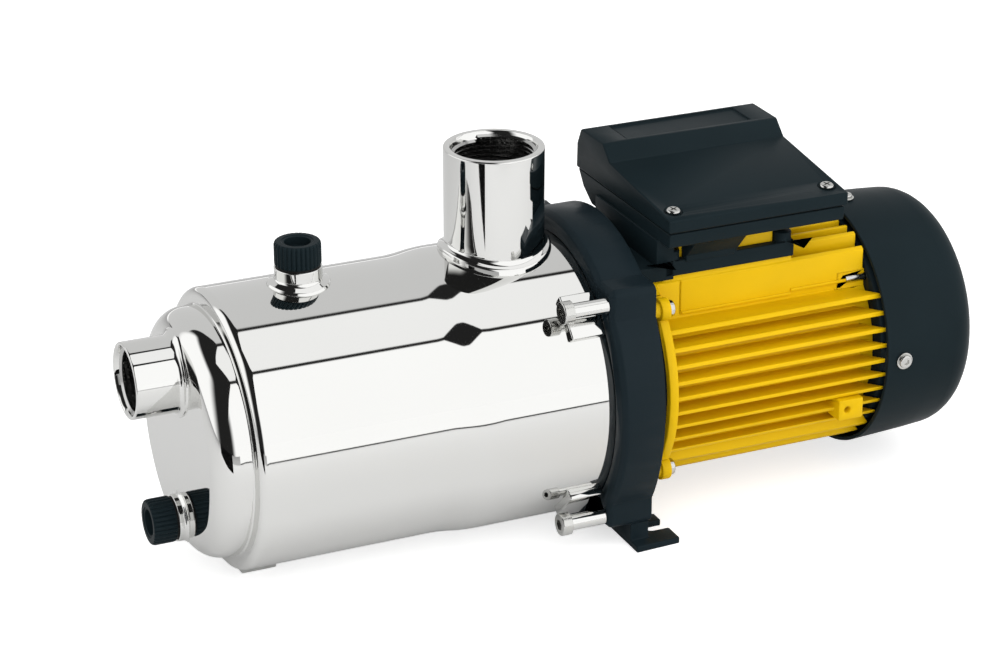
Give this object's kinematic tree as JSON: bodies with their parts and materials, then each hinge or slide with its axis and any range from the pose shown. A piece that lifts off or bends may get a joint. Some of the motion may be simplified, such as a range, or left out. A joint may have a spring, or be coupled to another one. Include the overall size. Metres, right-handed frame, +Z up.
{
  "type": "water pressure pump",
  "caption": "Horizontal self-priming multistage water pump: polished steel casing with threaded suction and discharge sockets, black bracket, finned yellow motor, terminal box.",
  "frame": {"origin": "on the floor under the middle of the bounding box; the feet stand on z = 0", "axes": "+X along the shaft from the suction socket to the fan, +Y to the far side, +Z up along the discharge socket"},
  "size_m": [0.4404, 0.164, 0.2005],
  "materials": {
    "polished_steel": "deep-drawn stainless steel, mirror polished",
    "bright_steel": "machined stainless or zinc-plated steel",
    "shaft_steel": "ground steel",
    "black_casting": "die-cast aluminium, satin black coat",
    "yellow_casting": "die-cast aluminium, yellow coat",
    "bare_casting": "bare die-cast aluminium",
    "black_plastic": "black glass-filled plastic, fine texture",
    "hydraulic_plastic": "dark moulded engineering plastic",
    "light_plastic": "pale insulating plastic",
    "black_rubber": "nitrile rubber",
    "copper_winding": "enamelled copper wire, varnished",
    "lamination": "stacked electrical steel sheets",
    "brass_parts": "bright brass",
    "seal_carbon": "carbon and ceramic seal faces"
  },
  "bodies": {
    "pump_body": {"capacitor": "light_plastic", "casing_ring": "black_rubber", "casing_screw_sleeves": "bright_steel", "casing_screws": "bright_steel", "diffuser_1": "hydraulic_plastic", "diffuser_2": "hydraulic_plastic", "diffuser_3": "hydraulic_plastic", "diffuser_4": "hydraulic_plastic", "discharge_socket": "polished_steel", "drain_boss": "polished_steel", "fan_cover": "black_plastic", "fan_cover_screws": "bright_steel", "filler_boss": "polished_steel", "flange_screws": "bright_steel", "front_bearing_outer_ring": "shaft_steel", "front_foot": "polished_steel", "gland_body": "black_plastic", "gland_lock_nut": "black_plastic", "gland_nut": "black_plastic", "gland_seal": "black_rubber", "inlet_guide": "bright_steel", "lid_screws": "bright_steel", "motor_bracket": "black_casting", "motor_frame": "yellow_casting", "pump_casing": "polished_steel", "rear_bearing_outer_ring": "shaft_steel", "rear_shield": "bare_casting", "seal_plate": "bright_steel", "seal_seat": "seal_carbon", "shield_screws": "bright_steel", "stator_core": "lamination", "stator_windings": "copper_winding", "suction_socket": "polished_steel", "terminal_block": "light_plastic", "terminal_box_base": "black_plastic", "terminal_box_gasket": "black_rubber", "terminal_box_lid": "black_plastic", "terminal_studs": "brass_parts", "wave_washer": "bright_steel"},
    "rotor": {"shaft": "shaft_steel", "impeller_1": "hydraulic_plastic", "impeller_2": "hydraulic_plastic", "impeller_3": "hydraulic_plastic", "impeller_4": "hydraulic_plastic", "stage_spacers": "bright_steel", "impeller_nut": "bright_steel", "seal_head": "seal_carbon", "seal_spring": "bright_steel", "front_bearing_inner_ring": "shaft_steel", "rear_bearing_inner_ring": "shaft_steel", "rotor_core": "lamination", "cooling_fan": "black_plastic", "fan_clip": "bright_steel"},
    "front_balls": {"front_bearing_ball_cage": "shaft_steel"},
    "rear_balls": {"rear_bearing_ball_cage": "shaft_steel"},
    "filler_lift": {"filler_ring": "black_rubber"},
    "filler_turn": {"filler_plug": "black_plastic"},
    "drain_lift": {"drain_ring": "black_rubber"},
    "drain_turn": {"drain_plug": "black_plastic"}
  },
  "joints": [
    {"name": "rotor_spin", "type": "hinge", "parent": "pump_body", "child": "rotor", "pos_m": [0.0252, 0, 0.076], "axis": [1, 0, 0], "continuous": true},
    {"name": "front_balls_orbit", "type": "hinge", "parent": "pump_body", "child": "front_balls", "pos_m": [0.0277, 0, 0.076], "axis": [1, 0, 0], "continuous": true},
    {"name": "rear_balls_orbit", "type": "hinge", "parent": "pump_body", "child": "rear_balls", "pos_m": [0.1692, 0, 0.076], "axis": [1, 0, 0], "continuous": true},
    {"name": "filler_plug_lift", "type": "slide", "parent": "pump_body", "child": "filler_lift", "axis": [0, 0, 1], "range_m": [0, 0.00936]},
    {"name": "filler_plug_turn", "type": "hinge", "parent": "filler_lift", "child": "filler_turn", "pos_m": [-0.131, 0, 0.156], "axis": [0, 0, 1], "range_deg": [0, 2520]},
    {"name": "drain_plug_draw", "type": "slide", "parent": "pump_body", "child": "drain_lift", "axis": [-1, 0, 0], "range_m": [0, 0.00936]},
    {"name": "drain_plug_turn", "type": "hinge", "parent": "drain_lift", "child": "drain_turn", "pos_m": [-0.2048, 0, 0.0325], "axis": [-1, 0, 0], "range_deg": [0, 2520]}
  ],
  "couplings": [
    {"joint": "front_balls_orbit", "follows": "rotor_spin", "ratio": 0.38},
    {"joint": "rear_balls_orbit", "follows": "rotor_spin", "ratio": 0.38},
    {"joint": "filler_plug_turn", "follows": "filler_plug_lift", "rad_per_m": 4699.5},
    {"joint": "drain_plug_turn", "follows": "drain_plug_draw", "rad_per_m": 4699.5}
  ]
}
